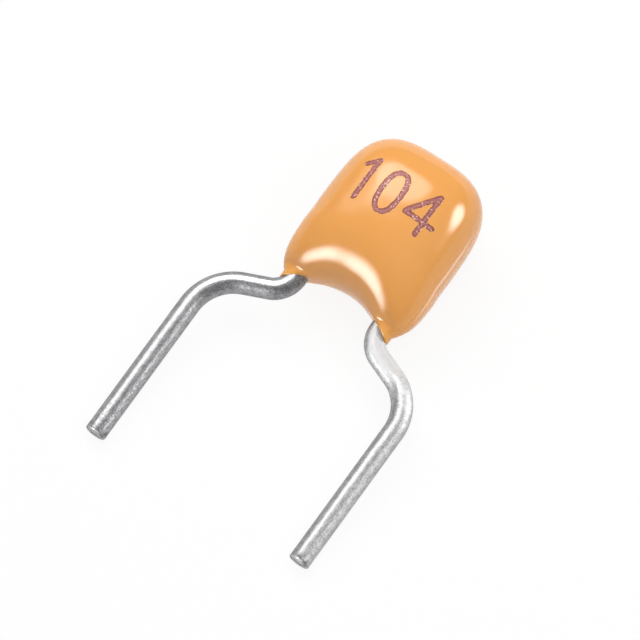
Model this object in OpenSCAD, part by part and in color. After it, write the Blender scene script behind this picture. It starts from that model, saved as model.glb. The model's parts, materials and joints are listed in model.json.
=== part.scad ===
// Dipped ceramic capacitor with two cranked wire leads.
// Every piece is described in the capacitor's own plane, centred on the chip: X runs across the leads,
// Y from the lead ends to the crown and Z out of the marked face. lay_down() then rests the part on its back.

/* [Leads] */
// Distance between the axes of the two straight lead ends
lead_pitch = 5.08; // [4.6:0.02:7]
// Diameter of the lead wire
wire_d = 0.46; // [0.4:0.01:0.56]
// Straight length of each lead below its knee
lead_straight = 3.35; // [2:0.05:25]
// Angle by which the crank turns away from the straight lead
crank_angle = 68; // [50:1:76]
// Radius of the bend beside the coat, on the wire's axis
neck_bend_r = 0.53; // [0.4:0.01:0.7]
// Radius of the bend at the knee, on the wire's axis
knee_bend_r = 1.07; // [0.5:0.01:1.2]
// Length of straight wire from the chip's middle down to the neck bend
neck_len = 2.02; // [1.8:0.02:2.6]
// Length of wire that stands past the chip towards the crown
wire_over = 0.3; // [0.1:0.02:0.5]
// Bevel round the cut end of each lead
cut_bevel = 0.03; // [0.01:0.01:0.08]

/* [Chip] */
// Length of the chip between the outer faces of its two end caps
chip_l = 1.6; // [1.3:0.02:1.8]
// Width of the chip along the wires, over its end caps
chip_w = 0.8; // [0.6:0.02:1.2]
// Thickness of the chip, over its end caps
chip_t = 0.8; // [0.6:0.02:1.2]
// Rounding along the long edges of the end caps
cap_edge_r = 0.08; // [0.05:0.01:0.15]
// Length of the end cap's band along the chip
band_l = 0.32; // [0.2:0.02:0.5]
// Thickness of the end cap's metal
cap_t = 0.03; // [0.02:0.005:0.045]

/* [Electrodes] */
// Number of plates that belong to each end
plates_per_end = 5; // [3:1:7]
// Thickness of one plate
plate_t = 0.02; // [0.01:0.005:0.03]
// Ceramic above the first plate and below the last one
cover_t = 0.1; // [0.06:0.01:0.15]
// Ceramic beside the plates, along the wires
side_margin = 0.1; // [0.05:0.01:0.2]
// Distance by which each plate stops short of the opposite end
end_margin = 0.2; // [0.1:0.02:0.3]

/* [Solder] */
// Thickness of the solder film between end cap and wire
solder_film = 0.015; // [0.01:0.005:0.04]
// Reach of each solder fillet over the end cap, from the wire's middle
solder_leg = 0.3; // [0.25:0.01:0.32]
// Angle round the wire, from the end cap's side, that each fillet covers
solder_wrap = 60; // [40:1:75]
// Depth of the hollow in each fillet
solder_hollow = 0.02; // [0.01:0.005:0.03]
// Bare strip of end cap above and below the solder
solder_margin = 0.06; // [0.03:0.01:0.15]

/* [Coat] */
// Resin beside each wire at the coat's middle
side_coat = 0.315; // [0.2:0.005:0.5]
// Resin over the wire ends at the crown
crown_coat = 1; // [0.6:0.05:1.4]
// Resin over each face of the chip
face_coat = 0.77; // [0.4:0.01:1]
// Narrowing of the coat's half width for each millimetre towards the crown
crown_taper = 0.026; // [0:0.001:0.1]
// Squareness of the coat seen from the front: 2 is an ellipse
outline_power = 3.1; // [2.4:0.1:5]
// Fullness of the faces towards the rim
face_power = 2.4; // [2:0.1:4]
// Roundness of the rim: 2 is a circular edge
rim_power = 2.3; // [1.7:0.1:3]
// Depth of the hollow in the coat's lower edge, between the leads
scoop_d = 0.27; // [0.1:0.01:0.35]
// Half width of that hollow
scoop_half_w = 0.86; // [0.7:0.02:1]
// How soon the hollow fades out up the faces: higher is sooner
scoop_power = 2.8; // [2:0.1:4]
// Resin on both sides of each wire where the coat ends
ear_lip_t = 0.07; // [0.05:0.01:0.12]
// Half thickness of an ear's lower edge, which feathers out on the wire's front and back
ear_edge_t = 0.06; // [0.04:0.01:0.1]
// Slant of an ear's end, lower on the side away from the other lead
ear_slant = 34; // [15:1:38]
// Widening of an ear for each millimetre above its end
ear_swell = 0.9; // [0.6:0.05:1.2]
// Length along the wire over which that widening fades out
ear_fade_len = 0.75; // [0.45:0.05:0.85]
// Height above its end up to which an ear keeps its full strength
ear_reach_len = 1.05; // [0.8:0.05:1.2]
// Length along the wire over which an ear thickens towards the faces
ear_ramp_len = 0.42; // [0.3:0.02:0.6]
// Depth of the ears' full thickness under the coat's faces
ear_sink_d = 0.38; // [0.2:0.01:0.5]
// Softness of the blend between the ears and the body of the coat
ear_blend_r = 0.07; // [0.05:0.005:0.12]

/* [Hidden] */
$fn = 48;
LEFT = -1;
RIGHT = 1;

// Leads
wire_r = wire_d / 2;
wire_x = chip_l / 2 + solder_film + wire_r;
wire_top = chip_w / 2 + wire_over;
bend_shift = (neck_bend_r + knee_bend_r) * (1 - cos(crank_angle));
crank_len = (lead_pitch / 2 - wire_x - bend_shift) / sin(crank_angle);
bend_drop = (neck_bend_r + knee_bend_r) * sin(crank_angle);
tip_y = -neck_len - bend_drop - crank_len * cos(crank_angle) - lead_straight;

// Chip and electrodes
ceramic_l = chip_l - 2 * cap_t;
ceramic_w = chip_w - 2 * cap_t;
ceramic_t = chip_t - 2 * cap_t;
ceramic_edge_r = cap_edge_r - cap_t;
plate_count = 2 * plates_per_end;
plate_step = (ceramic_t - 2 * cover_t - plate_t) / (plate_count - 1);
plate_l = ceramic_l - end_margin;
plate_w = ceramic_w - 2 * side_margin;

// Solder: on each side of the wire a hollow arc from the end cap to the wire
cap_face_x = chip_l / 2;
solder_root_x = cap_face_x - cap_t / 2;
solder_on_cap = [cap_face_x, solder_leg];
solder_on_wire = [wire_x - wire_r * cos(solder_wrap), wire_r * sin(solder_wrap)];
solder_chord = solder_on_wire - solder_on_cap;
hollow_r = pow(norm(solder_chord), 2) / (8 * solder_hollow) + solder_hollow / 2;
hollow_out = [-solder_chord.y, solder_chord.x] / norm(solder_chord);
hollow_centre = (solder_on_cap + solder_on_wire) / 2 + hollow_out * (hollow_r - solder_hollow);

// Coat: a pillow blended with a sleeve round each wire, which ends below in a slanted ear
coat_half_w = wire_x + wire_r + side_coat;
coat_half_h = wire_top + crown_coat;
coat_half_t = chip_t / 2 + face_coat;
ear_r = wire_r + ear_lip_t;
ear_half_t = coat_half_t - ear_sink_d;
ear_rise = ear_r * tan(ear_slant);
ear_inner_angle = atan2(-neck_len + ear_rise, wire_x - ear_r);
ear_outer_angle = atan2(-neck_len - ear_rise, wire_x + ear_r);

// Coat mesh: rays from the chip's middle, closest together at the ears, each followed out to the skin.
// Each band of rays has its first angle, its last angle and its number of steps.
flank_angle = -20;
ray_bands = [
    [-90, ear_inner_angle, 7],
    [ear_inner_angle, ear_outer_angle, 12],
    [ear_outer_angle, flank_angle, 9],
    [flank_angle, 90, 18]
];
half_turn = concat(
    [for (band = ray_bands, i = [0 : band[2] - 1]) band[0] + (band[1] - band[0]) * i / band[2]],
    [90]
);
half_count = len(half_turn) - 1;
station_count = 2 * half_count;
ring_count = 16;
ring_crowding = 1.4;
ring_heights = [for (i = [0 : ring_count]) 90 * pow(i / ring_count, ring_crowding)];
search_reach = [coat_half_t / 2, 2 * (neck_len + coat_half_w)];
search_steps = 18;
quarter_skin = [for (h = ring_heights) [for (a = half_turn) skin_point(a, h)]];
coat_points = concat(
    [[0, 0, -coat_half_t]],
    [
        for (i = [1 - ring_count : ring_count - 1], j = [0 : station_count - 1])
            let (p = quarter_skin[abs(i)][min(j, station_count - j)])
            [(j > half_count ? -1 : 1) * p.x, p.y, (i < 0 ? -1 : 1) * p.z]
    ],
    [[0, 0, coat_half_t]]
);

// Rest pose: the tilt at which the lead ends and the back of the coat touch the same surface
steepest_tilt = 40;
tilt_steps = 24;
rest_tilt = tilt_between(0, steepest_tilt, tilt_steps);
rest_lift = -tip_low(rest_tilt);
rest_front = tip_y * cos(rest_tilt) - (wire_r - cut_bevel) * sin(rest_tilt);
rest_back = max([for (p = coat_points) p.y * cos(rest_tilt) - p.z * sin(rest_tilt)]);

// Distance outside the pillow, whose outline and rim are superellipses, drawn down on both sides of the scoop
function pillow_gap(p) =
    let (
        drawn = scoop_d * (1 - exp(-pow(p.x / scoop_half_w, 2))) * pow(max(-p.y, 0) / coat_half_h, scoop_power),
        half_w = coat_half_w - crown_taper * p.y,
        ring = pow(abs(p.x) / half_w, outline_power) + pow(abs(p.y + drawn) / coat_half_h, outline_power),
        bulge = pow(ring, face_power / outline_power) + pow(abs(p.z) / coat_half_t, rim_power)
    )
    coat_half_w * (pow(bulge, 1 / face_power) - 1);
// Distance outside the nearer sleeve, an oval that swells and thickens upwards from the ear's slanted end,
// then wanes inside the pillow
function sleeve_gap(p) =
    let (
        across = abs(p.x) - wire_x,
        above = p.y + neck_len,
        rise = max(above, 0),
        half_w = ear_r + ear_swell * rise * exp(-rise / ear_fade_len),
        half_t = ear_half_t - (ear_half_t - ear_edge_t) * exp(-rise / ear_ramp_len),
        outside = half_w * (norm([across / half_w, p.z / half_t]) - 1),
        waning = pow(max(above - ear_reach_len, 0), 2) / ear_reach_len,
        below_end = -above * cos(ear_slant) - across * sin(ear_slant)
    )
    max(outside + waning, below_end);
// Distance outside the coat, where pillow and sleeves melt into each other
function coat_gap(p) =
    -ear_blend_r * ln(exp(-pillow_gap(p) / ear_blend_r) + exp(-sleeve_gap(p) / ear_blend_r));
// Point where a ray leaves the coat, found by halving the stretch that holds it
function reach_along(ray, near, far, steps) =
    let (middle = (near + far) / 2)
    steps == 0 ? middle
    : coat_gap(middle * ray) < 0 ? reach_along(ray, middle, far, steps - 1)
    : reach_along(ray, near, middle, steps - 1);
function skin_point(a, h) =
    let (ray = [cos(a) * cos(h), sin(a) * cos(h), sin(h)])
    ray * reach_along(ray, search_reach[0], search_reach[1], search_steps);
// Lowest reach of the lead ends and of the coat when the part is tilted
function tip_low(t) = (tip_y + cut_bevel) * sin(t) - wire_r * cos(t);
function coat_low(t) = min([for (p = coat_points) p.y * sin(t) + p.z * cos(t)]);
function tilt_between(low, high, steps) =
    let (middle = (low + high) / 2)
    steps == 0 ? middle
    : coat_low(middle) < tip_low(middle) ? tilt_between(middle, high, steps - 1)
    : tilt_between(low, middle, steps - 1);

// Turns the part about X onto its back and sets it down with its footprint round the origin
module lay_down() {
    translate([0, -(rest_front + rest_back) / 2, rest_lift])
        rotate([rest_tilt, 0, 0])
            children();
}

// Bar along X with rounded long edges, centred at x = middle_x
module rounded_bar(middle_x, length, width, thick, edge_r) {
    translate([middle_x - length / 2, 0, 0])
        rotate([90, 0, 90])
            linear_extrude(height = length)
                union() {
                    square([width - 2 * edge_r, thick], center = true);
                    square([width, thick - 2 * edge_r], center = true);
                    for (x = [-1, 1], y = [-1, 1])
                        translate([x * (width / 2 - edge_r), y * (thick / 2 - edge_r)])
                            circle(edge_r);
                }
}

// Straight wire down from here, with what follows it at its lower end
module wire_run(length) {
    rotate([90, 0, 0]) cylinder(r = wire_r, h = length);
    translate([0, -length, 0]) children();
}

// Bent wire down from here, turning towards +X by a positive angle, with what follows it at its lower end
module wire_bend(radius, angle) {
    centre_x = sign(angle) * radius;
    translate([centre_x, 0, 0]) {
        rotate_extrude(angle = abs(angle), start = angle > 0 ? 180 : angle)
            translate([radius, 0])
                circle(wire_r);
        rotate([0, 0, angle]) translate([-centre_x, 0, 0]) children();
    }
}

// Bevelled end of a wire that was cut off square
module wire_cut() {
    rotate([90, 0, 0]) cylinder(r1 = wire_r, r2 = wire_r - cut_bevel, h = cut_bevel);
}

module lead_wire(side) {
    translate([side * wire_x, wire_top, 0])
        wire_run(wire_top + neck_len)
            wire_bend(neck_bend_r, side * crank_angle)
                wire_run(crank_len)
                    wire_bend(knee_bend_r, -side * crank_angle)
                        wire_run(lead_straight - cut_bevel)
                            wire_cut();
}

module ceramic_block() {
    rounded_bar(0, ceramic_l, ceramic_w, ceramic_t, ceramic_edge_r);
}

module end_cap_block(side) {
    middle_x = side * (chip_l - band_l) / 2;
    rounded_bar(middle_x, band_l, chip_w, chip_t, cap_edge_r);
}

// Plates of one end: every second level of the stack, reaching that end's face
module plate_stack(side) {
    first = side == RIGHT ? 0 : 1;
    for (level = [first : 2 : plate_count - 1]) {
        z = -ceramic_t / 2 + cover_t + level * plate_step;
        x = side == RIGHT ? ceramic_l / 2 - plate_l : -ceramic_l / 2;
        translate([x, -plate_w / 2, z]) cube([plate_l, plate_w, plate_t]);
    }
}

// Solder on both sides of the wire, with the bits of wire and end cap that lie in it
module solder_fill(side) {
    translate([0, chip_w / 2 - solder_margin, 0])
        rotate([90, 0, 0])
            linear_extrude(height = chip_w - 2 * solder_margin)
                difference() {
                    polygon([
                        [side * solder_root_x, -solder_on_cap.y],
                        [side * solder_root_x, solder_on_cap.y],
                        [side * solder_on_cap.x, solder_on_cap.y],
                        [side * solder_on_wire.x, solder_on_wire.y],
                        [side * solder_on_wire.x, -solder_on_wire.y],
                        [side * solder_on_cap.x, -solder_on_cap.y]
                    ]);
                    for (flip = [-1, 1])
                        translate([side * hollow_centre.x, flip * hollow_centre.y]) circle(hollow_r);
                }
}

// Outer skin of the coat, a closed mesh of rings between two poles
module coat_skin() {
    last = len(coat_points) - 1;
    top_ring = last - station_count;
    faces = concat(
        [for (j = [0 : station_count - 1]) [0, 1 + j, 1 + (j + 1) % station_count]],
        [
            for (i = [0 : 2 * ring_count - 3], j = [0 : station_count - 1])
                let (
                    low = 1 + i * station_count,
                    high = low + station_count,
                    k = (j + 1) % station_count
                )
                each [[low + j, high + j, high + k], [low + j, high + k, low + k]]
        ],
        [for (j = [0 : station_count - 1]) [last, top_ring + (j + 1) % station_count, top_ring + j]]
    );
    polyhedron(coat_points, faces);
}

module epoxy_coat() {
    color([0.93, 0.64, 0.32])
        lay_down()
            difference() {
                coat_skin();
                ceramic_block();
                for (side = [LEFT, RIGHT]) {
                    end_cap_block(side);
                    solder_fill(side);
                    lead_wire(side);
                }
            }
}

module lead(side) {
    color([0.75, 0.75, 0.76]) lay_down() lead_wire(side);
}

module solder(side) {
    color([0.66, 0.67, 0.69])
        lay_down()
            difference() {
                solder_fill(side);
                end_cap_block(side);
                lead_wire(side);
            }
}

module termination(side) {
    color([0.82, 0.82, 0.8])
        lay_down()
            difference() {
                end_cap_block(side);
                ceramic_block();
            }
}

module ceramic_chip() {
    color([0.72, 0.6, 0.45])
        lay_down()
            difference() {
                ceramic_block();
                plate_stack(LEFT);
                plate_stack(RIGHT);
            }
}

module electrodes(side) {
    color([0.5, 0.5, 0.52]) lay_down() plate_stack(side);
}

epoxy_coat();
lead(LEFT);  // left_lead
lead(RIGHT);  // right_lead
solder(LEFT);  // left_solder
solder(RIGHT);  // right_solder
termination(LEFT);  // left_termination
termination(RIGHT);  // right_termination
ceramic_chip();
electrodes(LEFT);  // left_electrodes
electrodes(RIGHT);  // right_electrodes
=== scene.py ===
"""Looks of a dipped ceramic capacitor: its resin coat with a printed value, its tinned leads and its chip.

Shapes are worked out in millimetres along the capacitor's own axes, from the middle of the chip: x runs
across the leads, y from the lead ends to the crown and z out of the marked face. place() sets them down
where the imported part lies.
"""

import json

import bpy
import numpy as np
from mathutils import Matrix, Vector


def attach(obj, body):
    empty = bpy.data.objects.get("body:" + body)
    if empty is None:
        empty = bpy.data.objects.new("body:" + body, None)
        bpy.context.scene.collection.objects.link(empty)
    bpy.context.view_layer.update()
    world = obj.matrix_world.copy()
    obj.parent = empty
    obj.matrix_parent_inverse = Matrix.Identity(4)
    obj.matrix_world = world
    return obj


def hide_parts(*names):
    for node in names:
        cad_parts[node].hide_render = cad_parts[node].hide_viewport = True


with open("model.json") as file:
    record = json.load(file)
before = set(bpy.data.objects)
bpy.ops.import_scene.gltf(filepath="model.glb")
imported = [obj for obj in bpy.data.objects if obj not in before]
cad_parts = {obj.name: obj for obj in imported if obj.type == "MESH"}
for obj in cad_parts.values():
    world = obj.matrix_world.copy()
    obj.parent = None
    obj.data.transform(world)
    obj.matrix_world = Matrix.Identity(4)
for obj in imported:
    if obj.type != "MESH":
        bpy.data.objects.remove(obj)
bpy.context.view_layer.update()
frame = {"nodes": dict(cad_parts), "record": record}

MM = 0.001
LEFT, RIGHT = -1, 1

# Sizes of the part's source, in millimetres and radians
CHIP_L = 1.6
CHIP_W = 0.8
CHIP_T = 0.8
SOLDER_FILM = 0.015
WIRE_OVER = 0.3
NECK_LEN = 2.02
CRANK_ANGLE = np.radians(68)
NECK_BEND_R = 0.53
KNEE_BEND_R = 1.07
CUT_BEVEL = 0.03
SIDE_COAT = 0.315
CROWN_COAT = 1.0
FACE_COAT = 0.77
CROWN_TAPER = 0.026
OUTLINE_POWER = 3.1
FACE_POWER = 2.4
RIM_POWER = 2.3
SCOOP_D = 0.27
SCOOP_HALF_W = 0.86
SCOOP_POWER = 2.8
EAR_LIP = 0.07
EAR_EDGE = 0.06
EAR_SLANT = np.radians(34)
EAR_SWELL = 0.9
EAR_FADE = 0.75
EAR_REACH = 1.05
EAR_RAMP = 0.42
EAR_SINK = 0.38
EAR_BLEND = 0.07

# Thin resin that runs down the wire to the end of each ear
FILM = 0.022
FILM_BLEND = 0.02

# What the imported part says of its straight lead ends
PIN = next(mount for mount in frame["record"]["mounts"] if mount["name"] == "right_lead_pin")
PIN_X = PIN["pos_m"][0] / MM
WIRE_R = PIN["dims"]["r_mm"]
PIN_LEN = PIN["dims"]["length_mm"]

# Sizes that follow
WIRE_X = CHIP_L / 2 + SOLDER_FILM + WIRE_R
WIRE_TOP = CHIP_W / 2 + WIRE_OVER
BEND_SHIFT = (NECK_BEND_R + KNEE_BEND_R) * (1 - np.cos(CRANK_ANGLE))
BEND_DROP = (NECK_BEND_R + KNEE_BEND_R) * np.sin(CRANK_ANGLE)
CRANK_LEN = (PIN_X - WIRE_X - BEND_SHIFT) / np.sin(CRANK_ANGLE)
PIN_TOP_Y = -NECK_LEN - BEND_DROP - CRANK_LEN * np.cos(CRANK_ANGLE)
TIP_Y = PIN_TOP_Y - PIN_LEN - CUT_BEVEL
COAT_HALF_W = WIRE_X + WIRE_R + SIDE_COAT
COAT_HALF_H = WIRE_TOP + CROWN_COAT
COAT_HALF_T = CHIP_T / 2 + FACE_COAT
EAR_R = WIRE_R + EAR_LIP
EAR_HALF_T = COAT_HALF_T - EAR_SINK

# The capacitor's own axes and the chip's middle, in the frame
ACROSS = np.array([1.0, 0.0, 0.0])
UPWARD = -np.array(PIN["axis"])
OUTWARD = np.cross(ACROSS, UPWARD)
PIN_MIDDLE = np.array(PIN["pos_m"])
CHIP_MIDDLE = PIN_MIDDLE - MM * (PIN_X * ACROSS + (PIN_TOP_Y - PIN_LEN / 2) * UPWARD)


def place(points):
    """Frame position in metres of points given in millimetres along the capacitor's own axes."""
    return CHIP_MIDDLE + MM * (points @ np.stack([ACROSS, UPWARD, OUTWARD]))


# Meshes


def grid_piece(name, rings, attributes):
    """Closed skin over rings of points, shape (rings, stations, 3): each ring joins the next by quads, round
    and round, and the first and last ring fan out to their own middle points. Attributes hold one value or
    vector for each grid point."""
    ring_count, stations = rings.shape[:2]
    points = np.concatenate([rings.reshape(-1, 3), rings[[0, -1]].mean(axis=1)])
    first_pole, last_pole = len(points) - 2, len(points) - 1
    here = np.arange(stations)
    beside = (here + 1) % stations
    start = stations * np.arange(ring_count - 1)[:, None]
    following = start + stations
    quads = np.stack([start + here, start + beside, following + beside, following + here], axis=-1)
    last = stations * (ring_count - 1)
    bottom_fan = np.stack([beside, here, np.full(stations, first_pole)], axis=-1)
    top_fan = np.stack([last + here, last + beside, np.full(stations, last_pole)], axis=-1)
    faces = quads.reshape(-1, 4).tolist() + bottom_fan.tolist() + top_fan.tolist()
    mesh = bpy.data.meshes.new(name)
    mesh.from_pydata(place(points).tolist(), [], faces)
    mesh.shade_smooth()
    for label, values in attributes.items():
        on_rings = values.reshape(ring_count * stations, -1)
        on_poles = values[[0, -1]].mean(axis=1).reshape(2, -1)
        values = np.concatenate([on_rings, on_poles]).astype(np.float32)
        kind, field = ("FLOAT", "value") if values.shape[1] == 1 else ("FLOAT_VECTOR", "vector")
        mesh.attributes.new(label, kind, "POINT").data.foreach_set(field, values.ravel())
    piece = bpy.data.objects.new(name, mesh)
    bpy.context.scene.collection.objects.link(piece)
    return piece


# Resin coat

COAT_STATIONS = 400
COAT_RINGS = 190
RING_CROWDING = 1.25
EAR_CROWDING = 5.0
EAR_CROWD_WIDTH = np.radians(12)
TURN_SAMPLES = 4001
SEARCH_STEPS = 40
EAR_ROUND = 0.03


def pillow_gap(x, y, z):
    """Distance outside the pillow: its outline is a superellipse that narrows to the crown, and its section
    from the outline to the middle of each face is another. Its lower half is drawn down beside a scoop in
    the middle, by a bell curve of x that grows as a power of the depth below the chip's middle."""
    beside_scoop = 1 - np.exp(-((x / SCOOP_HALF_W) ** 2))
    drawn = SCOOP_D * beside_scoop * (np.maximum(-y, 0) / COAT_HALF_H) ** SCOOP_POWER
    half_w = COAT_HALF_W - CROWN_TAPER * y
    ring = (np.abs(x) / half_w) ** OUTLINE_POWER + (np.abs(y + drawn) / COAT_HALF_H) ** OUTLINE_POWER
    bulge = ring ** (FACE_POWER / OUTLINE_POWER) + (np.abs(z) / COAT_HALF_T) ** RIM_POWER
    return COAT_HALF_W * (bulge ** (1 / FACE_POWER) - 1)


def sleeve_gap(x, y, z):
    """Distance outside the nearer sleeve: an oval round the wire that swells and thickens upwards from a
    slanted end, wanes inside the pillow, and has a small rounding along the edge of its end. It is never
    thinner than a film over the wire, by a soft maximum."""
    across = np.abs(x) - WIRE_X
    above = y + NECK_LEN
    rise = np.maximum(above, 0)
    half_w = EAR_R + EAR_SWELL * rise * np.exp(-rise / EAR_FADE)
    ramp = EAR_HALF_T - (EAR_HALF_T - EAR_EDGE) * np.exp(-rise / EAR_RAMP)
    film = WIRE_R + FILM
    half_t = (ramp + film + np.hypot(ramp - film, FILM_BLEND)) / 2
    outside = half_w * (np.hypot(across / half_w, z / half_t) - 1)
    waning = np.maximum(above - EAR_REACH, 0) ** 2 / EAR_REACH
    side = outside + waning
    end = -above * np.cos(EAR_SLANT) - across * np.sin(EAR_SLANT)
    return (side + end + np.hypot(side - end, EAR_ROUND)) / 2


def coat_gap(x, y, z):
    """Distance outside the coat, where pillow and sleeves melt into each other by a soft minimum."""
    return -EAR_BLEND * np.logaddexp(-pillow_gap(x, y, z) / EAR_BLEND, -sleeve_gap(x, y, z) / EAR_BLEND)


def coat_skin():
    """Points where rays from the chip's middle leave the coat. A ray's two parameters are its turn in the
    plane of the leads, closest together at the ears, and its height above that plane; halving finds where
    coat_gap is 0."""
    turn = np.linspace(0, 2 * np.pi, TURN_SAMPLES)
    ear = np.arctan2(-NECK_LEN, WIRE_X)
    crowd = 1 + EAR_CROWDING * sum(
        np.exp(-(((turn - middle) / EAR_CROWD_WIDTH) ** 2)) for middle in (2 * np.pi + ear, np.pi - ear)
    )
    share = np.cumsum(crowd)
    share = (share - share[0]) / (share[-1] - share[0])
    turns = np.interp(np.arange(COAT_STATIONS) / COAT_STATIONS, share, turn)
    level = np.linspace(-1, 1, COAT_RINGS + 2)[1:-1]
    heights = np.pi / 2 * np.sign(level) * np.abs(level) ** RING_CROWDING
    rays = np.stack(
        [
            np.cos(heights)[:, None] * np.cos(turns),
            np.cos(heights)[:, None] * np.sin(turns),
            np.sin(heights)[:, None] * np.ones_like(turns),
        ],
        axis=-1,
    )
    near = np.full(rays.shape[:2], COAT_HALF_T / 2)
    far = np.full(rays.shape[:2], 2 * (NECK_LEN + COAT_HALF_W))
    for _ in range(SEARCH_STEPS):
        middle = (near + far) / 2
        inside = coat_gap(*np.moveaxis(middle[..., None] * rays, -1, 0)) < 0
        near = np.where(inside, middle, near)
        far = np.where(inside, far, middle)
    return near[..., None] * rays


# Printed value: single strokes in the plane of the face

FIGURE_LOW = -0.2
FIGURE_HIGH = 0.76
FLAG_DROP = 0.19
ONE_STEM_X = -0.78
ONE_FLAG_X = -0.98
NOUGHT_X = -0.165
NOUGHT_HALF_W = 0.22
NOUGHT_POWER = 2.4
NOUGHT_STEPS = 60
FOUR_LEFT_X = 0.3
FOUR_RIGHT_X = 0.94
FOUR_STEM_X = 0.74
FOUR_BAR_Y = 0.1
STROKE_HALF_W = 0.058
FAR_FROM_PRINT = 9.0


def printed_strokes():
    """Ends of every straight stretch of the figures: a flagged stem, an upright superellipse and a four."""
    turn = np.linspace(0, 2 * np.pi, NOUGHT_STEPS + 1)
    circle = np.stack([np.cos(turn), np.sin(turn)], axis=-1)
    squared = circle * (np.abs(circle) ** NOUGHT_POWER).sum(axis=-1, keepdims=True) ** (-1 / NOUGHT_POWER)
    nought_middle = np.array([NOUGHT_X, (FIGURE_LOW + FIGURE_HIGH) / 2])
    nought_half = np.array([NOUGHT_HALF_W, (FIGURE_HIGH - FIGURE_LOW) / 2])
    one = [(ONE_FLAG_X, FIGURE_HIGH - FLAG_DROP), (ONE_STEM_X, FIGURE_HIGH), (ONE_STEM_X, FIGURE_LOW)]
    four = [(FOUR_RIGHT_X, FOUR_BAR_Y), (FOUR_LEFT_X, FOUR_BAR_Y)]
    four += [(FOUR_STEM_X, FIGURE_HIGH), (FOUR_STEM_X, FIGURE_LOW)]
    lines = [np.array(one), nought_middle + nought_half * squared, np.array(four)]
    return np.concatenate([line[:-1] for line in lines]), np.concatenate([line[1:] for line in lines])


def print_distance(points):
    """Distance of points on the marked face from the nearest stroke's middle line, square to the face."""
    flat = points[..., :2]
    nearest = np.full(points.shape[:2], FAR_FROM_PRINT)
    for start, end in zip(*printed_strokes()):
        along = end - start
        share = np.clip(((flat - start) @ along) / (along @ along), 0, 1)
        nearest = np.minimum(nearest, np.linalg.norm(flat - start - share[..., None] * along, axis=-1))
    return np.where(points[..., 2] > 0, nearest, FAR_FROM_PRINT)


def wire_distance(points):
    """Distance of points from the nearer wire's neck, plus their height above the end of that neck."""
    off_axis = np.hypot(np.abs(points[..., 0]) - WIRE_X, points[..., 2])
    return off_axis - WIRE_R + np.maximum(points[..., 1] + NECK_LEN, 0)


def make_coat():
    skin = coat_skin()
    attributes = {"print_distance": print_distance(skin), "wire_distance": wire_distance(skin)}
    return grid_piece("coat", skin, attributes)


# Leads

WIRE_STATIONS = 64
RUN_STEP = 0.05
BEND_STEP = np.radians(2)
CUT_DOME = 0.012
CUT_RINGS = 8
BEVEL_RINGS = 4

# Press mark of the forming tool: turn round the wire, depth, stretch along it, and cosines where it fades
PRESS_TURN = np.radians(57)
PRESS_DEPTH = 0.06
PRESS_FROM = 1.9
PRESS_TO = 4.1
PRESS_FADE = 0.4
PRESS_WIDE = 0.2
PRESS_NARROW = 0.55


def wire_path(side):
    """Middle line of a lead from its hidden top to its bevel: the heading is level along each run and turns
    evenly along each bend, so every short step is a chord of one arc. Gives positions, headings and lengths
    run so far."""
    runs = [(WIRE_TOP + NECK_LEN, 0), (NECK_BEND_R * CRANK_ANGLE, CRANK_ANGLE), (CRANK_LEN, 0)]
    runs += [(KNEE_BEND_R * CRANK_ANGLE, -CRANK_ANGLE), (PIN_LEN, 0)]
    steps = [int(np.ceil(max(length / RUN_STEP, abs(turn) / BEND_STEP))) for length, turn in runs]
    stride = np.concatenate([np.full(n, length / n) for n, (length, _) in zip(steps, runs)])
    bend = np.concatenate([np.full(n, turn / n) for n, (_, turn) in zip(steps, runs)])
    heading = np.concatenate([[0], np.cumsum(bend)])
    chord = stride * np.sinc(bend / (2 * np.pi))
    middle_heading = heading[:-1] + bend / 2
    x = WIRE_X + np.concatenate([[0], np.cumsum(chord * np.sin(middle_heading))])
    y = WIRE_TOP - np.concatenate([[0], np.cumsum(chord * np.cos(middle_heading))])
    return np.stack([side * x, y], axis=-1), side * heading, np.concatenate([[0], np.cumsum(stride)])


def press_share(run):
    """Share of the press mark along a lead, from 0 to 1, with an even rise and fall at its ends."""
    return np.clip(np.minimum(run - PRESS_FROM, PRESS_TO - run) / PRESS_FADE, 0, 1)


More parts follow.
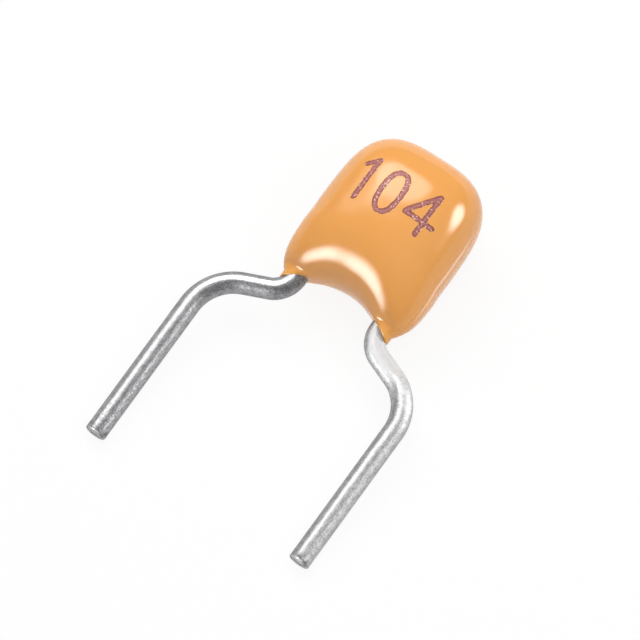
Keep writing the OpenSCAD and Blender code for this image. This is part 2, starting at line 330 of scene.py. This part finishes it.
def wire_skin(side, press_depth):
    """Circle carried along the lead's middle line, then shrunk over a rounded bevel and a low dome at the
    cut end. Where the forming tool pressed, what stands out past a flat is set back onto it. Beside the
    points, it gives each one's place in the unrolled wire, as the two sides of its circle and its run, and
    its share of the press mark."""
    path, heading, run = wire_path(side)
    quarter = np.linspace(0, np.pi / 2, BEVEL_RINGS + 1)[1:]
    face = np.linspace(1, 0, CUT_RINGS + 1)[1:-1]
    face_r = (WIRE_R - CUT_BEVEL) * face
    past = np.concatenate([CUT_BEVEL * np.sin(quarter), CUT_BEVEL + CUT_DOME * (1 - face**2)])
    bevel_r = WIRE_R - CUT_BEVEL * (1 - np.cos(quarter))
    radius = np.concatenate([np.full(len(path), WIRE_R), bevel_r, face_r])
    down = np.array([0.0, -1.0])
    path = np.concatenate([path, path[-1] + past[:, None] * down])
    heading = np.concatenate([heading, np.zeros(len(past))])
    run = np.concatenate([run, run[-1] + past])
    turn = 2 * np.pi * np.arange(WIRE_STATIONS) / WIRE_STATIONS
    reach = radius[:, None] * np.cos(turn)
    lift = radius[:, None] * np.sin(turn)
    unrolled = np.stack([reach, lift, run[:, None] * np.ones_like(turn)], axis=-1)
    flat_r = WIRE_R - press_depth * press_share(run)[:, None]
    facing_tool = np.cos(turn - PRESS_TURN)
    past_flat = np.maximum(radius[:, None] * facing_tool - flat_r, 0)
    reach = reach - past_flat * np.cos(PRESS_TURN)
    lift = lift - past_flat * np.sin(PRESS_TURN)
    aside = np.stack([np.cos(heading), np.sin(heading)], axis=-1)
    level = path[:, None, :] + reach[..., None] * aside[:, None, :]
    rubbed = np.clip((facing_tool - PRESS_WIDE) / (PRESS_NARROW - PRESS_WIDE), 0, 1)
    pressed = np.sign(press_depth) * press_share(run)[:, None] * rubbed
    return np.concatenate([level, lift[..., None]], axis=-1), unrolled, pressed


def make_lead(name, side, press_depth):
    skin, unrolled, pressed = wire_skin(side, press_depth)
    return grid_piece(name, skin, {"unrolled": unrolled, "pressed": pressed})


# Material helpers

# Sockets of a mix node that mixes colours, which share their names with its other kinds
MIX_SHARE, MIX_FIRST, MIX_SECOND, MIX_RESULT = 0, 6, 7, 2
NOISE_MIDDLE = 0.5


def add_node(tree, kind, **settings):
    node = tree.nodes.new(kind)
    for label, value in settings.items():
        setattr(node, label, value)
    return node


def feed(tree, socket, value):
    """Links a socket to another node's output, or sets it to a plain value."""
    if isinstance(value, bpy.types.NodeSocket):
        tree.links.new(value, socket)
    else:
        socket.default_value = value


def math(tree, operation, first, second):
    node = add_node(tree, "ShaderNodeMath", operation=operation)
    feed(tree, node.inputs[0], first)
    feed(tree, node.inputs[1], second)
    return node.outputs[0]


def weighted_sum(tree, start, *terms):
    """Start plus each term's value times its weight."""
    total = start
    for value, weight in terms:
        total = math(tree, "ADD", total, math(tree, "MULTIPLY", value, weight))
    return total


def remap(tree, value, low, high, to_low=0.0, to_high=1.0):
    """Value eased from one range into another, and held at its ends."""
    node = add_node(tree, "ShaderNodeMapRange", interpolation_type="SMOOTHSTEP")
    labels = ("Value", "From Min", "From Max", "To Min", "To Max")
    for label, given in zip(labels, (value, low, high, to_low, to_high)):
        feed(tree, node.inputs[label], given)
    return node.outputs["Result"]


def mix_colour(tree, share, first, second):
    """First colour at a share of 0, second at 1."""
    node = add_node(tree, "ShaderNodeMix", data_type="RGBA")
    feed(tree, node.inputs[MIX_SHARE], share)
    feed(tree, node.inputs[MIX_FIRST], first)
    feed(tree, node.inputs[MIX_SECOND], second)
    return node.outputs[MIX_RESULT]


def noise(tree, vector, scale, detail=2.0, roughness=0.5):
    node = add_node(tree, "ShaderNodeTexNoise")
    for label, given in (("Vector", vector), ("Scale", scale), ("Detail", detail), ("Roughness", roughness)):
        feed(tree, node.inputs[label], given)
    return node.outputs["Fac"]


def millimetres(tree):
    """Object coordinates in millimetres."""
    coordinates = add_node(tree, "ShaderNodeTexCoord")
    scaled = add_node(tree, "ShaderNodeVectorMath", operation="SCALE")
    feed(tree, scaled.inputs[0], coordinates.outputs["Object"])
    feed(tree, scaled.inputs["Scale"], 1 / MM)
    return scaled.outputs[0]


def attribute(tree, label, output="Fac"):
    return add_node(tree, "ShaderNodeAttribute", attribute_name=label).outputs[output]


def facing(tree, unrolled, turn):
    """Cosine of the angle round the wire between a point and a given turn."""
    node = add_node(tree, "ShaderNodeVectorMath", operation="DOT_PRODUCT")
    feed(tree, node.inputs[0], unrolled)
    feed(tree, node.inputs[1], (np.cos(turn) / WIRE_R, np.sin(turn) / WIRE_R, 0.0))
    return node.outputs["Value"]


def bump(tree, height, depth, normal=None):
    """Normal of a surface whose height, from 0 to 1, stands for a depth in millimetres."""
    node = add_node(tree, "ShaderNodeBump")
    feed(tree, node.inputs["Strength"], 1.0)
    feed(tree, node.inputs["Distance"], depth * MM)
    feed(tree, node.inputs["Height"], height)
    if normal is not None:
        feed(tree, node.inputs["Normal"], normal)
    return node.outputs["Normal"]


def srgb(red, green, blue):
    """Linear colour of a screen colour with channels from 0 to 255, by the curve of the sRGB standard."""
    screen = np.array([red, green, blue]) / 255
    linear = np.where(screen <= 0.04045, screen / 12.92, ((screen + 0.055) / 1.055) ** 2.4)
    return (*linear.tolist(), 1.0)


def new_material(name, **sockets):
    """Principled material whose named sockets hold plain values. Gives it, its nodes and its shader."""
    material = bpy.data.materials.new(name)
    material.use_nodes = True
    tree = material.node_tree
    shader = tree.nodes["Principled BSDF"]
    for label, value in sockets.items():
        shader.inputs[label.replace("_", " ")].default_value = value
    return material, tree, shader


def new_group(name, inputs, outputs):
    """Empty effect with named sockets, each given as its name and kind."""
    tree = bpy.data.node_groups.new(name, "ShaderNodeTree")
    for way, sockets in (("INPUT", inputs), ("OUTPUT", outputs)):
        for label, kind in sockets:
            tree.interface.new_socket(label, in_out=way, socket_type="NodeSocket" + kind)
    return tree, tree.nodes.new("NodeGroupInput").outputs, tree.nodes.new("NodeGroupOutput").inputs


def use_group(tree, group, **values):
    node = add_node(tree, "ShaderNodeGroup", node_tree=group)
    for label, value in values.items():
        feed(tree, node.inputs[label], value)
    return node.outputs


# Effects that several materials share

COARSE_SCALE = 0.3
COARSE_SHARE = 0.3
FINE_SHARE = 0.7
CRYSTAL_FROM = 0.42
CRYSTAL_TO = 0.6


def tone_drift_group():
    """Colour that drifts a little darker and lighter in soft clouds."""
    tree, given, result = new_group(
        "tone drift",
        [("Colour", "Color"), ("Vector", "Vector"), ("Scale", "Float"), ("Amount", "Float")],
        [("Colour", "Color")],
    )
    cloud = noise(tree, given["Vector"], given["Scale"], detail=3.0)
    swing = math(tree, "SUBTRACT", cloud, NOISE_MIDDLE)
    scaled = add_node(tree, "ShaderNodeVectorMath", operation="SCALE")
    feed(tree, scaled.inputs[0], given["Colour"])
    feed(tree, scaled.inputs["Scale"], weighted_sum(tree, 1.0, (swing, given["Amount"])))
    feed(tree, result["Colour"], scaled.outputs[0])
    return tree


def fine_grain_group():
    """Fine crystals of a cast or fired surface, with a coarser drift under them: a shade and a height from
    0 to 1."""
    tree, given, result = new_group(
        "fine grain",
        [("Vector", "Vector"), ("Scale", "Float")],
        [("Shade", "Float"), ("Height", "Float")],
    )
    fine = noise(tree, given["Vector"], given["Scale"], roughness=0.6)
    coarse_scale = math(tree, "MULTIPLY", given["Scale"], COARSE_SCALE)
    coarse = noise(tree, given["Vector"], coarse_scale, detail=1.0)
    both = weighted_sum(tree, 0.0, (fine, FINE_SHARE), (coarse, COARSE_SHARE))
    feed(tree, result["Shade"], remap(tree, both, CRYSTAL_FROM, CRYSTAL_TO))
    feed(tree, result["Height"], both)
    return tree


TONE_DRIFT = tone_drift_group()
FINE_GRAIN = fine_grain_group()

# Finishes: colours, shares from 0 to 1, sizes in millimetres, noise scales per millimetre

EPOXY = srgb(238, 166, 88)
EPOXY_ROUGH = 0.14
EPOXY_THIN = srgb(240, 184, 84)
THIN_FROM = 0.09
THIN_TO = 0.03
THIN_SHARE = 0.4
WAVE_SCALE = 1.1
WAVE_DEPTH = 0.02

# Printed strokes: their edge is ragged, and their dark rim lies between two distances inside it
PRINT = srgb(170, 96, 92)
PRINT_EDGE = srgb(126, 54, 48)
PRINT_SPECK = srgb(238, 190, 176)
PRINT_BLUR = 0.008
PRINT_DEPTH = 0.006
PRINT_ROUGHER = 0.3
RAGGED_SCALE = 14.0
RAGGED_SWING = 0.05
RIM_FROM = 0.04
RIM_TO = 0.012
SPECK_SCALE = 22.0
SPECK_FROM = 0.58
SPECK_TO = 0.68
SPECK_SHARE = 0.85

# Tinned wire: where painted shade falls, on a duller side and a flank; how far along it the knee and the end
# are
TIN = srgb(220, 220, 221)
TIN_FROSTED = srgb(230, 230, 230)
TIN_PRESSED = srgb(228, 228, 229)
# Darker tin, for the painted shade and for the dark streaks
TIN_DARK = srgb(158, 158, 160)
TIN_SPECK = srgb(96, 96, 98)
EDGE_TINT = srgb(165, 165, 167)
# Painted shade: the side of the wire facing this turn is mixed towards TIN_DARK, and is also made rougher
SHADE_SIDE_TURN = np.radians(42)
SHADE_SIDE_FROM = 0.5
SHADE_SIDE_TO = 0.92
DULL_ROUGHER = 0.12
# Painted shade on a flank of the wire, mixed towards TIN_DARK to darken what it reflects
SHADED_FLANK_TURN = np.radians(164)
SHADED_FLANK_FADE = 0.42
SHADED_FLANK_SHARE = 0.48
KNEE_RUN = WIRE_TOP + NECK_LEN + CRANK_LEN + (NECK_BEND_R + KNEE_BEND_R) * CRANK_ANGLE
KNEE_FADE = 1.0
RUN_LEN = KNEE_RUN + PIN_LEN + CUT_BEVEL

# Streaks, crystals, press mark and smudges on the tin
STREAK_STRETCH = 0.06
STREAK_SCALE = 16.0
STREAK_FROM = 0.5
STREAK_TO = 0.75
STREAK_SHARE = 0.4
STREAK_ROUGHER = 0.12
STREAK_DEPTH = 0.003
CRYSTAL_SCALE = 30.0
CRYSTAL_DEPTH = 0.009
# Shares of crystals outside and inside the painted shade
UNSHADED_CRYSTALS = 0.28
SHADED_CRYSTALS = 0.65
PRESSED_SHARE = 0.75
PRESSED_ROUGHER = 0.35
END_FROM = 0.22
END_TO = 0.02
SMUDGE_SCALE = 7.0
SMUDGE_FROM = 0.42
SMUDGE_TO = 0.62
SMUDGE_SHARE = 0.7
SMUDGE_ROUGHER = 0.2

# Pieces inside the coat
DRIFT_PER_GRAIN = 1 / 8
DRIFT_AMOUNT = 0.2
GRAIN_SHARE = 0.4
GRAIN_ROUGH_LOW = 0.3
GRAIN_ROUGH_HIGH = 0.55


def epoxy_material():
    """Dipped resin: soft drift of tone, faint waves in the gloss, yellower where it thins out on the wires,
    and a matt printed value whose strokes have dark uneven edges and pale specks."""
    material, tree, shader = new_material(
        "dipped epoxy",
        IOR=1.52,
        Subsurface_Weight=0.1,
        Subsurface_Radius=(1.0, 0.45, 0.15),
        Subsurface_Scale=0.08 * MM,
    )
    place_mm = millimetres(tree)
    resin = use_group(tree, TONE_DRIFT, Colour=EPOXY, Vector=place_mm, Scale=0.8, Amount=0.08)["Colour"]
    thin = remap(tree, attribute(tree, "wire_distance"), THIN_FROM, THIN_TO, to_high=THIN_SHARE)
    resin = mix_colour(tree, thin, resin, EPOXY_THIN)
    swing = math(tree, "SUBTRACT", noise(tree, place_mm, RAGGED_SCALE), NOISE_MIDDLE)
    distance = weighted_sum(tree, attribute(tree, "print_distance"), (swing, RAGGED_SWING))
    printed = remap(tree, distance, STROKE_HALF_W + PRINT_BLUR, STROKE_HALF_W - PRINT_BLUR)
    rim = remap(tree, distance, STROKE_HALF_W - RIM_FROM, STROKE_HALF_W - RIM_TO)
    ink = mix_colour(tree, rim, PRINT, PRINT_EDGE)
    speck = noise(tree, place_mm, SPECK_SCALE, detail=1.0)
    speck = remap(tree, speck, SPECK_FROM, SPECK_TO, to_high=SPECK_SHARE)
    ink = mix_colour(tree, speck, ink, PRINT_SPECK)
    feed(tree, shader.inputs["Base Color"], mix_colour(tree, printed, resin, ink))
    feed(tree, shader.inputs["Roughness"], weighted_sum(tree, EPOXY_ROUGH, (printed, PRINT_ROUGHER)))
    waves = bump(tree, noise(tree, place_mm, WAVE_SCALE, detail=1.0), WAVE_DEPTH)
    unprinted = math(tree, "SUBTRACT", 1.0, printed)
    feed(tree, shader.inputs["Normal"], bump(tree, unprinted, PRINT_DEPTH, waves))
    return material


def tinned_material(name, tin, side_shade_share, crank_shade_share, shaded_flank_from, matt):
    """Tinned drawn wire: long streaks along it, painted shade on a duller side, with a share of its own on
    the cranked part, and on a flank, fine crystals that show most in that painted shade, an even matt press
    mark, and smudges on the cut end."""
    material, tree, shader = new_material(name, Metallic=1.0, Specular_Tint=EDGE_TINT)
    place_mm = millimetres(tree)
    unrolled = attribute(tree, "unrolled", "Vector")
    pressed = attribute(tree, "pressed")
    parts = add_node(tree, "ShaderNodeSeparateXYZ")
    feed(tree, parts.inputs[0], unrolled)
    run = parts.outputs["Z"]
    drawn = add_node(tree, "ShaderNodeVectorMath", operation="MULTIPLY")
    feed(tree, drawn.inputs[0], unrolled)
    feed(tree, drawn.inputs[1], (1.0, 1.0, STREAK_STRETCH))
    streak = noise(tree, drawn.outputs[0], STREAK_SCALE, detail=3.0)
    grain = use_group(tree, FINE_GRAIN, Vector=place_mm, Scale=CRYSTAL_SCALE)
    cranked = remap(tree, run, KNEE_RUN, KNEE_RUN - KNEE_FADE)
    # Painted shade on one side of the wire, which is also rougher there; its share changes on the cranked
    # part
    shaded_dull_side = remap(tree, facing(tree, unrolled, SHADE_SIDE_TURN), SHADE_SIDE_FROM, SHADE_SIDE_TO)
    shade = math(tree, "MULTIPLY", shaded_dull_side, remap(tree, cranked, 0.0, 1.0, side_shade_share, crank_shade_share))
    # Painted shade on a flank of the wire
    shaded_flank = facing(tree, unrolled, SHADED_FLANK_TURN)
    shaded_flank = remap(tree, shaded_flank, shaded_flank_from, shaded_flank_from + SHADED_FLANK_FADE, to_high=SHADED_FLANK_SHARE)
    shade = math(tree, "MAXIMUM", shade, shaded_flank)
    # The painted shade mixes the tin towards TIN_DARK
    tone = mix_colour(tree, shade, tin, TIN_DARK)
    crystals = remap(tree, shade, 0.0, 1.0, UNSHADED_CRYSTALS, SHADED_CRYSTALS)
    tone = mix_colour(tree, math(tree, "MULTIPLY", grain["Shade"], crystals), tone, TIN_SPECK)
    dark_streak = remap(tree, streak, STREAK_FROM, STREAK_TO, to_high=STREAK_SHARE)
    tone = mix_colour(tree, dark_streak, tone, TIN_DARK)
    tone = mix_colour(tree, math(tree, "MULTIPLY", pressed, PRESSED_SHARE), tone, TIN_PRESSED)
    end = remap(tree, run, RUN_LEN - END_FROM, RUN_LEN - END_TO)
    smudge = remap(tree, noise(tree, place_mm, SMUDGE_SCALE), SMUDGE_FROM, SMUDGE_TO)
    smudge = math(tree, "MULTIPLY", end, smudge)
    tone = mix_colour(tree, math(tree, "MULTIPLY", smudge, SMUDGE_SHARE), tone, TIN_SPECK)
    feed(tree, shader.inputs["Base Color"], tone)
    rough = weighted_sum(tree, matt, (streak, STREAK_ROUGHER), (shaded_dull_side, DULL_ROUGHER))
    rough = weighted_sum(tree, rough, (smudge, SMUDGE_ROUGHER), (pressed, PRESSED_ROUGHER))
    feed(tree, shader.inputs["Roughness"], rough)
    lines = bump(tree, streak, STREAK_DEPTH)
    feed(tree, shader.inputs["Normal"], bump(tree, grain["Height"], CRYSTAL_DEPTH, lines))
    return material


def grained_material(name, colour, dark, scale, depth, **sockets):
    """Plain body colour with drifting tone and fine crystals, for the pieces inside the coat."""
    material, tree, shader = new_material(name, **sockets)
    place_mm = millimetres(tree)
    clouds = {"Vector": place_mm, "Scale": DRIFT_PER_GRAIN * scale, "Amount": DRIFT_AMOUNT}
    body = use_group(tree, TONE_DRIFT, Colour=colour, **clouds)["Colour"]
    grain = use_group(tree, FINE_GRAIN, Vector=place_mm, Scale=scale)
    darker = math(tree, "MULTIPLY", grain["Shade"], GRAIN_SHARE)
    feed(tree, shader.inputs["Base Color"], mix_colour(tree, darker, body, dark))
    rough = remap(tree, grain["Shade"], 0.0, 1.0, GRAIN_ROUGH_LOW, GRAIN_ROUGH_HIGH)
    feed(tree, shader.inputs["Roughness"], rough)
    feed(tree, shader.inputs["Normal"], bump(tree, grain["Height"], depth))
    return material


# Pieces

coat = make_coat()
coat.data.materials.append(epoxy_material())
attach(coat, "root")
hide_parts("epoxy_coat")

# Each lead has its own shares of painted shade on its side, its crank and its flank
LEFT_TIN = tinned_material(
    "tinned wire left", TIN, side_shade_share=0.7, crank_shade_share=0.9, shaded_flank_from=0.5, matt=0.26
)
RIGHT_TIN = tinned_material(
    "tinned wire right", TIN_FROSTED, side_shade_share=0.5, crank_shade_share=0.1, shaded_flank_from=0.33, matt=0.36
)
for name, side, press_depth, finish in (
    ("left", LEFT, 0.0, LEFT_TIN),
    ("right", RIGHT, PRESS_DEPTH, RIGHT_TIN),
):
    wire = make_lead(name + "_wire", side, press_depth)
    wire.data.materials.append(finish)
    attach(wire, "root")
    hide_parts(name + "_lead")

INNER_FINISHES = {
    "ceramic_chip": grained_material(
        "fired ceramic", srgb(184, 153, 115), srgb(140, 112, 84), scale=30.0, depth=0.004
    ),
    "termination": grained_material(
        "end cap metal", srgb(209, 209, 204), srgb(150, 150, 148), scale=24.0, depth=0.004, Metallic=1.0
    ),
    "solder": grained_material(
        "tin solder", srgb(186, 188, 192), srgb(130, 132, 136), scale=16.0, depth=0.006, Metallic=1.0
    ),
    "electrodes": grained_material(
        "fired nickel", srgb(150, 150, 154), srgb(110, 110, 113), scale=40.0, depth=0.002, Metallic=1.0
    ),
}
for node_name, node in frame["nodes"].items():
    for ending, finish in INNER_FINISHES.items():
        if node_name.endswith(ending):
            node.data.materials.clear()
            node.data.materials.append(finish)

# Studio: pale floor, soft boxes where the photo's highlights come from, and a sky that pales to the horizon

FLOOR_HALF = 0.3
FLOOR_COLOUR = (0.9, 0.9, 0.9, 1.0)
FLOOR_GLOW = 0.9
WHITE = (1.0, 1.0, 1.0, 1.0)
BOX_AWAY = 0.08
BOX_FACE_MIDDLE = (0.5, 0.5, 0.0)
BOX_FACE_HALF = 0.5
SKY_FRONT = -0.3
SKY_BACK = 0.7
HORIZON_FROM = 0.02
HORIZON_TO = 0.12


def floor_material():
    """White floor: seen directly or mirrored it is close to plain white, with the soft shadow left in."""
    material = bpy.data.materials.new("white floor")
    material.use_nodes = True
    tree = material.node_tree
    tree.nodes.clear()
    path = add_node(tree, "ShaderNodeLightPath")
    mirrored = math(tree, "MAXIMUM", path.outputs["Is Glossy Ray"], path.outputs["Is Transmission Ray"])
    seen = math(tree, "MAXIMUM", path.outputs["Is Camera Ray"], mirrored)
    matt = add_node(tree, "ShaderNodeBsdfDiffuse")
    feed(tree, matt.inputs["Color"], FLOOR_COLOUR)
    glow = add_node(tree, "ShaderNodeEmission")
    blend = add_node(tree, "ShaderNodeMixShader")
    feed(tree, blend.inputs[0], math(tree, "MULTIPLY", seen, FLOOR_GLOW))
    feed(tree, blend.inputs[1], matt.outputs[0])
    feed(tree, blend.inputs[2], glow.outputs[0])
    output = add_node(tree, "ShaderNodeOutputMaterial")
    feed(tree, output.inputs["Surface"], blend.outputs[0])
    return material


def make_floor():
    mesh = bpy.data.meshes.new("floor")
    corners = [(x * FLOOR_HALF, y * FLOOR_HALF, 0.0) for x, y in ((-1, -1), (1, -1), (1, 1), (-1, 1))]
    mesh.from_pydata(corners, [], [(0, 1, 2, 3)])
    mesh.materials.append(floor_material())
    floor = bpy.data.objects.new("floor", mesh)
    bpy.context.scene.collection.objects.link(floor)


def direction(azimuth, elevation):
    """Unit vector out of the object: azimuth 0 is the side of the lead ends, 90 the right."""
    a, e = np.radians(azimuth), np.radians(elevation)
    return Vector((np.sin(a) * np.cos(e), -np.cos(a) * np.cos(e), np.sin(e)))


def soft_box(name, azimuth, elevation, wide, tall, radiance, core, away=BOX_AWAY, gloss=True, matt=True):
    """Rectangular lamp, so many degrees wide and tall as seen from the coat. Its face has a set brightness
    out to a core, a share of its half size, and fades from there to its edge. It may show only in gloss or
    only in matt."""
    out = direction(azimuth, elevation)
    light = bpy.data.lights.new(name, "AREA")
    light.shape = "RECTANGLE"
    light.size = 2 * away * np.tan(np.radians(wide) / 2)
    light.size_y = 2 * away * np.tan(np.radians(tall) / 2)
    light.energy = radiance * np.pi * light.size * light.size_y
    light.use_nodes = True
    tree = light.node_tree
    off_middle = add_node(tree, "ShaderNodeVectorMath", operation="DISTANCE")
    feed(tree, off_middle.inputs[0], add_node(tree, "ShaderNodeNewGeometry").outputs["Parametric"])
    feed(tree, off_middle.inputs[1], BOX_FACE_MIDDLE)
    strength = remap(tree, off_middle.outputs["Value"], BOX_FACE_HALF, BOX_FACE_HALF * core)
    feed(tree, tree.nodes["Emission"].inputs["Strength"], strength)
    lamp = bpy.data.objects.new(name, light)
    turned = out.to_track_quat("Z", "Y").to_matrix().to_4x4()
    lamp.matrix_world = Matrix.Translation(Vector(CHIP_MIDDLE) + away * out) @ turned
    lamp.visible_camera = False
    lamp.visible_glossy = gloss
    lamp.visible_diffuse = matt
    bpy.context.scene.collection.objects.link(lamp)


def make_sky(horizon, front, back):
    """Plain grey dome, darker behind the object than in front of it, that pales towards the horizon."""
    world = bpy.data.worlds.new("studio dome")
    bpy.context.scene.world = world
    world.use_nodes = True
    tree = world.node_tree
    background = tree.nodes["Background"]
    parts = add_node(tree, "ShaderNodeSeparateXYZ")
    feed(tree, parts.inputs[0], add_node(tree, "ShaderNodeTexCoord").outputs["Generated"])
    dome = remap(tree, parts.outputs["Y"], SKY_FRONT, SKY_BACK, front, back)
    strength = remap(tree, parts.outputs["Z"], HORIZON_FROM, HORIZON_TO, horizon, dome)
    feed(tree, background.inputs["Color"], WHITE)
    feed(tree, background.inputs["Strength"], strength)


make_floor()
make_sky(horizon=0.9, front=0.25, back=0.2)

# Lamps by azimuth and elevation; two that share a place stand at different distances, so that both are seen
soft_box("overhead box", -139, 57, wide=44, tall=44, radiance=3.0, core=0.75)
soft_box("overhead gleam", -139, 57, wide=40, tall=40, radiance=2.4, core=0.75, away=0.02, matt=False)
soft_box("left panel", -112, 46, wide=50, tall=56, radiance=1.5, core=0.5)
soft_box("top fill", 90, 70, wide=80, tall=80, radiance=1.75, core=0.5, gloss=False)
soft_box("side gleam", 123, 25, wide=36, tall=36, radiance=14.0, core=0.4, matt=False)
soft_box("front gleam", -19, 18, wide=38, tall=48, radiance=15.5, core=0.2, matt=False)
soft_box("low card", 92, -22, wide=66, tall=10, radiance=2.0, core=0.5, away=0.0028, matt=False)

# Camera at the photo's angle, from far off through a long lens

CAMERA_AZIMUTH = 35.26
CAMERA_ELEVATION = 62.88
VIEW_WIDTH = 13.02
VIEW_RIGHT_OF_TIPS = 2.512
VIEW_ABOVE_TIPS = 3.618
LENS = 1000.0


def make_camera():
    back = direction(CAMERA_AZIMUTH, CAMERA_ELEVATION)
    right = direction(CAMERA_AZIMUTH + 90, 0)
    up = back.cross(right)
    data = bpy.data.cameras.new("camera")
    data.lens = LENS
    data.clip_start = MM
    tips = Vector(place(np.array([0.0, TIP_Y, 0.0])))
    target = tips + MM * (VIEW_RIGHT_OF_TIPS * right + VIEW_ABOVE_TIPS * up)
    distance = MM * VIEW_WIDTH * LENS / data.sensor_width
    camera = bpy.data.objects.new("camera", data)
    turned = Matrix((right, up, back)).transposed().to_4x4()
    camera.matrix_world = Matrix.Translation(target + distance * back) @ turned
    bpy.context.scene.collection.objects.link(camera)
    bpy.context.scene.camera = camera


make_camera()
bpy.context.scene.view_settings.view_transform = "Standard"
